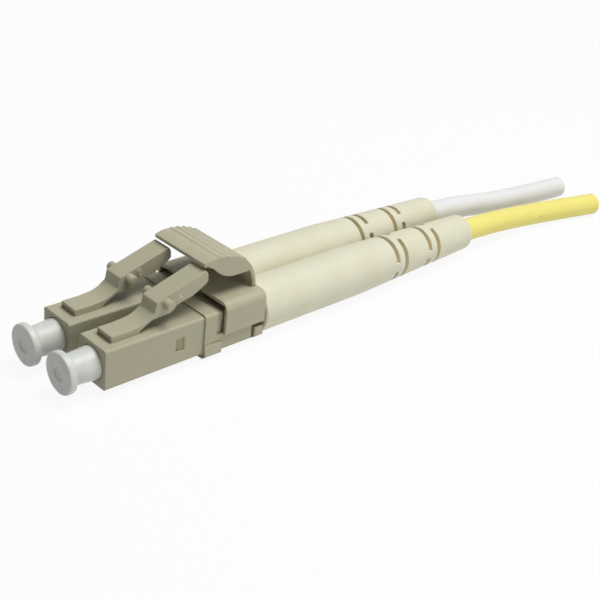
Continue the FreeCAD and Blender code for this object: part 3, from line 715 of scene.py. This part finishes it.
class Finish:
    """One material, built node by node on its Principled shader."""

    def __init__(self, name, **fixed):
        self.material = bpy.data.materials.new(name)
        self.material.use_nodes = True
        self.tree = self.material.node_tree
        self.shader = self.tree.nodes["Principled BSDF"]
        self.wear(**fixed)

    def fill(self, node, values):
        """Sets a node's sockets, or links those that get an Amount."""
        for key, value in values.items():
            socket = node.inputs[key]
            if isinstance(value, Amount):
                self.tree.links.new(value.socket, socket)
            else:
                socket.default_value = value

    def node(self, kind, settings=None, values=None, output=0):
        """Adds a node: its settings first, then its sockets. The answer is one of its outputs."""
        made = self.tree.nodes.new(kind)
        for key, value in (settings or {}).items():
            setattr(made, key, value)
        self.fill(made, values or {})
        return Amount(self, made.outputs[output])

    def place(self):
        """Where on the object a point is, in mm."""
        metres = self.node("ShaderNodeTexCoord", output="Object")
        return self.node("ShaderNodeVectorMath", {"operation": "SCALE"}, {0: metres, "Scale": 1 / MM})

    def grain(self, size, detail=2, stretch=(1, 1, 1)):
        """Uneven patches of one size, in mm, as a number about 0.5."""
        place = self.node("ShaderNodeMapping", {}, {"Vector": self.place(), "Scale": stretch})
        return self.node("ShaderNodeTexNoise", {}, {"Vector": place, "Scale": 1 / size, "Detail": detail},
                         "Fac")

    def crevice(self, distance):
        """1 deep in a corner, 0 in the open."""
        open_air = self.node("ShaderNodeAmbientOcclusion", {"samples": RAYS},
                             {"Distance": distance * MM}, "AO")
        return 1 - open_air

    def rounded_edges(self, radius):
        """Lets light see the edges as if they were rounded, radius in mm."""
        return self.node("ShaderNodeBevel", {"samples": RAYS}, {"Radius": radius * MM})

    def blend(self, first, second, amount):
        """One colour turning into another."""
        return self.node("ShaderNodeMix", {"data_type": "RGBA"}, {0: amount, 6: first, 7: second}, 2)

    def wear(self, **looks):
        """Feeds the shader, whose socket Base Color is written base_color here."""
        self.fill(self.shader, {key.replace("_", " ").title().replace("Ior", "IOR"): value
                                for key, value in looks.items()})

    def relief(self, height, depth, normal=None):
        """Turns a height into a bumped surface, depth in mm."""
        values = {"Height": height, "Distance": depth * MM}
        if normal:
            values["Normal"] = normal
        return self.node("ShaderNodeBump", {}, values)


def shade(red, green, blue):
    """A colour as a screen shows it, 0 to 255, turned into the linear amounts that light follows."""
    linear = [((part / 255 + 0.055) / 1.055) ** 2.4 for part in (red, green, blue)]
    return (*linear, 1)


# %% [markdown]
# ## Moulded plastic
# Beige engineering plastic comes from a spark-eroded mould, so it is matt with a very fine grain. It is a
# little uneven in colour, paler in patches, and its corners are painted darker and browner: partly dust and
# mould grease, partly painted shade, by how hidden each point is. A Bevel node lets the light see its edges
# as slightly rounded.

# %% The beige mouldings
HANDLED_BEIGE = shade(176, 165, 138)
DUST_AND_SHADE_REACH, EDGE_SOFTNESS = 1.8, 0.14


def beige(name, colour, dust_and_shade_colour):
    """Matt moulded plastic of one colour, with painted shade and dust of another in its corners."""
    finish = Finish(name, specular_ior_level=0.35)
    cloud = finish.grain(2.2, detail=3)
    speckle = finish.grain(0.12, detail=2)
    # Painted shade, partly dust: the more hidden a point is, the darker and browner it gets.
    dust_and_painted_shade = finish.crevice(DUST_AND_SHADE_REACH).above(0.35, 0.9)
    body = finish.blend(colour, HANDLED_BEIGE, cloud.above(0.35, 0.7) * 0.5)
    stained_and_shaded = finish.blend(body, dust_and_shade_colour, dust_and_painted_shade * 0.5)
    finish.wear(base_color=stained_and_shaded, roughness=0.42 + speckle * 0.16,
                normal=finish.relief(speckle, 0.012, finish.rounded_edges(EDGE_SOFTNESS)))
    return finish


housing_plastic = beige("housing_plastic_finish", shade(171, 168, 144), shade(98, 86, 54))
clip_plastic = beige("clip_plastic_finish", shade(176, 172, 148), shade(112, 82, 50))

# The letters are painted paler than the arm: partly wear on the raised strokes, partly a painted highlight.
worn_and_highlit = Finish("polarity_mark_finish", specular_ior_level=0.45)
rub = worn_and_highlit.grain(0.15)
worn_and_highlit.wear(base_color=worn_and_highlit.blend(shade(186, 182, 158), shade(206, 201, 178), rub),
               roughness=0.36 + rub * 0.16)
print("beige finishes have", len(housing_plastic.tree.nodes), "nodes each")

# %% [markdown]
# ## Ivory rubber
# The boots are a satin elastomer, ivory outside. The floors of the slits are painted tan by their distance
# from the boot's axis: a painted shade that stands in for light bouncing between the tinted rubber walls,
# and partly dust that settles there.

# %% The boots' rubber
IVORY, AGED_IVORY, SLIT_SHADE_AND_DUST = shade(217, 214, 192), shade(211, 206, 178), shade(232, 206, 136)


def rubber(side):
    """Ivory rubber with painted shade, tan, towards one plug's axis."""
    finish = Finish(f"boot_rubber_finish_{side}", specular_ior_level=0.3)
    centred = finish.node("ShaderNodeMapping", {}, {
        "Vector": finish.place(), "Location": (0, -middle_of(side) / MM, 0), "Scale": (0, 1, 1)})
    radius = finish.node("ShaderNodeVectorMath", {"operation": "LENGTH"}, {0: centred}, "Value")
    cloud = finish.grain(3.0, detail=2)
    speckle = finish.grain(0.16, detail=2)
    outside = finish.blend(IVORY, AGED_IVORY, cloud.above(0.4, 0.7) * 0.6)
    # Painted shade, partly dust: tan wherever the surface lies nearer the axis than the tip's radius.
    slit = 1 - radius.above(SLIT_FLOOR, TIP_RADIUS)
    finish.wear(base_color=finish.blend(outside, SLIT_SHADE_AND_DUST, slit),
                roughness=0.42 + speckle * 0.2, normal=finish.relief(speckle, 0.01))
    return finish


boot_rubber = {side: rubber(side) for side in SIDES}
print("boot finish has", len(boot_rubber["a"].tree.nodes), "nodes")

# %% [markdown]
# ## Milky polyethylene
# The caps let a little light in, which softens their shadows. That is what Subsurface does. Its depth is
# a length, so it is given in the size of the piece: about half a millimetre.

# %% The caps' plastic
cap_plastic = Finish("cap_plastic_finish", specular_ior_level=0.5, subsurface_weight=0.35,
                     subsurface_radius=(1, 1, 0.9), subsurface_scale=0.5 * MM)
cloud = cap_plastic.grain(1.6)
scuff = cap_plastic.grain(0.2, detail=4)
milk = cap_plastic.blend(shade(209, 212, 206), shade(198, 200, 191), cloud.above(0.4, 0.75))
# Painted shade: the dimple and the corners round the neck turn greyer the more hidden they are.
dimple_and_corner_shade = cap_plastic.crevice(1.4).above(0.1, 0.5)
cap_plastic.wear(base_color=cap_plastic.blend(milk, shade(166, 164, 148), dimple_and_corner_shade * 0.6),
                 roughness=0.3 + scuff * 0.2, normal=cap_plastic.relief(scuff, 0.006))
print("cap finish has", len(cap_plastic.tree.nodes), "nodes")

# %% [markdown]
# ## Cable jackets
# A jacket is extruded, so any marks in it run along the cable: faint draw lines, stretched some thirty
# times in that direction. Handling leaves a few grey smudges. The yellow one carries two small specks of
# dirt, which are placed by their distance from a point.

# %% The jackets' plastic
SOOT, SPECK = shade(150, 146, 120), shade(120, 118, 100)


def extruded(name, colour, deep, specks=()):
    """Jacket plastic. Each speck is a place and a size, in mm."""
    finish = Finish(name, specular_ior_level=0.4)
    lines = finish.grain(0.25, detail=2, stretch=(0.03, 1, 1))
    smudge = finish.grain(2.6, detail=4)
    soot = finish.grain(0.18, detail=1).above(0.72, 0.78)
    tint = finish.blend(colour, deep, smudge.above(0.4, 0.8) * 0.35)
    tint = finish.blend(tint, SOOT, soot * 0.35)
    for place, size in specks:
        away = finish.node("ShaderNodeVectorMath", {"operation": "DISTANCE"},
                           {0: finish.place(), 1: place}, "Value")
        tint = finish.blend(SPECK, tint, away.above(size * 0.6, size))
    finish.wear(base_color=tint, roughness=0.38 + smudge * 0.16, normal=finish.relief(lines, 0.008))
    return finish


jacket_finish = {
    "a": extruded("yellow_jacket_finish", shade(234, 222, 122), shade(224, 210, 100),
                  specks=(((-73.8, 4.65, -1.05), 0.3), ((-75.0, 4.56, -0.6), 0.22))),
    "b": extruded("white_jacket_finish", shade(225, 225, 224), shade(216, 215, 212)),
}
print("jacket finish has", len(jacket_finish["a"].tree.nodes), "nodes")

# %% [markdown]
# ## Metals and ceramic
# The parts inside are plated or drawn metal. A turned part shows fine rings across its axis, so its grain
# is squeezed along x; drawn wire and tube show lines along it. Zirconia is white, hard and polished.

# %% The inner finishes
TARNISH = 0.8


def metal(name, colour, roughness, stretch):
    """Plated or drawn metal. A small first stretch draws its lines out along x, a large one packs them."""
    finish = Finish(name, metallic=1)
    lines = finish.grain(0.12, detail=3, stretch=stretch)
    stain = finish.grain(1.1, detail=3)
    dull = (*(TARNISH * part for part in colour[:3]), 1)
    finish.wear(base_color=finish.blend(colour, dull, stain.above(0.5, 0.8)),
                roughness=roughness + lines * 0.18, normal=finish.relief(lines, 0.004))
    return finish


zirconia = Finish("zirconia_finish", specular_ior_level=0.7, coat_weight=0.5, coat_roughness=0.05)
haze = zirconia.grain(0.6)
zirconia.wear(base_color=zirconia.blend(shade(243, 243, 238), shade(232, 232, 226), haze),
              roughness=0.1 + haze * 0.1)

yarn = Finish("yarn_finish", specular_ior_level=0.4, sheen_weight=0.3)
strands = yarn.grain(0.09, detail=3, stretch=(0.05, 1, 1))
yarn.wear(base_color=yarn.blend(shade(212, 186, 96), shade(240, 222, 150), strands.above(0.35, 0.65)),
          roughness=0.6 + strands * 0.2, normal=yarn.relief(strands, 0.05))

coating = Finish("fibre_coating_finish", specular_ior_level=0.5)
skin = coating.grain(0.3)
coating.wear(base_color=coating.blend(shade(244, 244, 240), shade(232, 232, 226), skin),
             roughness=0.3 + skin * 0.1)

spring_wire = metal("spring_finish", shade(200, 200, 200), 0.2, (1, 1, 1))
INNER = {
    "ferrule_flange": metal("flange_finish", shade(214, 208, 190), 0.16, (12, 1, 1)),
    "rear_body": metal("post_finish", shade(150, 141, 116), 0.34, (12, 1, 1)),
    "crimp_sleeve": metal("crimp_finish", shade(210, 206, 194), 0.26, (0.2, 1, 1)),
    "aramid_yarn": yarn,
    "coated_fibre": coating,
}
print(len(INNER), "finishes for CAD nodes, besides zirconia and spring wire")

# %% [markdown]
# ## Putting the finishes on
# A CAD node keeps its mesh and only gets its finish changed. A new piece has no finish yet and is given
# one.

# %% Dress every piece
def dress(piece, finish):
    """Gives a piece one finish."""
    piece.data.materials.clear()
    piece.data.materials.append(finish.material)


for node, piece in moulded.items():
    dress(piece, clip_plastic if node in ("duplex_clip", "trigger") else housing_plastic)
for side in SIDES:
    dress(marks[side], worn_and_highlit)
    dress(arms[side], housing_plastic)
    dress(boots[side], boot_rubber[side])
    dress(caps[side], cap_plastic)
    dress(ferrules[side], zirconia)
    dress(jackets[side], jacket_finish[side])
    dress(coils[side], spring_wire)
    for kind, finish in INNER.items():
        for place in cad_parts[f"{kind}_{side}"].material_slots:
            place.material = finish.material

# %% [markdown]
# ## Floor and light
# The pair lies on a sheet of nearly white paper. Rays that come straight from the camera or by way of a
# mirror or glass mostly see an even white, so the background stays clean while a faint shadow remains.

# %% Floor
FLOOR_SIZE, PLAIN_SHARE = 3, 0.92

floor_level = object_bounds()[0].z
bpy.ops.object.select_all(action="DESELECT")
bpy.ops.mesh.primitive_plane_add(size=FLOOR_SIZE, location=(0, 0, floor_level))
floor = bpy.context.object
floor.name = "floor"
floor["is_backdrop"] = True

paper = Finish("paper_finish", roughness=0.9, specular_ior_level=0.1)
paper.wear(base_color=shade(228, 228, 228))


def background_rays(finish):
    """1 for the rays that should see the plain background."""
    kinds = [finish.node("ShaderNodeLightPath", output=kind)
             for kind in ("Is Camera Ray", "Is Glossy Ray", "Is Transmission Ray")]
    return finish.node("ShaderNodeClamp", {}, {"Value": kinds[0] + kinds[1] + kinds[2]})


plain_white = paper.node("ShaderNodeEmission", {}, {"Strength": 1.0})
lit = Amount(paper, paper.shader.outputs[0])
seen = paper.node("ShaderNodeMixShader", {},
                  {0: background_rays(paper) * PLAIN_SHARE, 1: lit, 2: plain_white})
paper.fill(paper.tree.nodes["Material Output"], {"Surface": seen})
dress(floor, paper)
print("floor is at", round(floor_level / MM, 2), "mm")

# %% [markdown]
# A white tent gives soft light from everywhere. A large lamp above and behind the pair gives it
# direction, and a weak one at the side lifts the flanks: tops and flanks are bright, and the faces towards
# the viewer are in mild shade. The strengths are kept at a level at which a colour looks about as it was
# mixed. The rays that should see a plain background see the tent as white.

# %% Tent and lamps
class Tent(Finish):
    """The world's nodes, which end in a Background shader instead of a Principled one."""

    def __init__(self, world):
        world.use_nodes = True
        self.tree = world.node_tree
        self.shader = self.tree.nodes["Background"]


TENT_LIGHT, TENT_COLOUR = 0.18, (0.97, 0.985, 1, 1)

world = bpy.data.worlds.new("tent")
bpy.context.scene.world = world
tent = Tent(world)
tent.wear(color=TENT_COLOUR, strength=TENT_LIGHT + background_rays(tent) * (1 - TENT_LIGHT))

AIM, LAMP_SIZE = Vector((-20, 0, 0)) * MM, 200 * MM


def lamp(name, place, power):
    """A large square lamp that looks at the plugs, its place in mm and its power in watts."""
    bpy.ops.object.select_all(action="DESELECT")
    bpy.ops.object.light_add(type="AREA", location=Vector(place) * MM)
    made = bpy.context.object
    made.name = name
    made.data.energy = power
    made.data.size = LAMP_SIZE
    made.visible_camera = False
    made.rotation_euler = (AIM - made.location).to_track_quat("-Z", "Y").to_euler()


lamp("key_lamp", place=(-100, 70, 330), power=1.08)
lamp("fill_lamp", place=(-60, 310, 110), power=0.19)

# %% [markdown]
# ## Size and view transform
# Dressing must not change the part's size, so the frame's box from the start and the dressed part's box
# are written side by side. The view transform is Standard, so colours come out as they were mixed.

# %% Finish
bpy.context.scene.view_settings.view_transform = "Standard"

dressed_box = [list(corner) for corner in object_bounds()]
for corner, new, old in zip(("low", "high"), dressed_box, cad_box):
    print(corner, "corner moved by", [round((now - was) / MM, 3) for now, was in zip(new, old)], "mm")
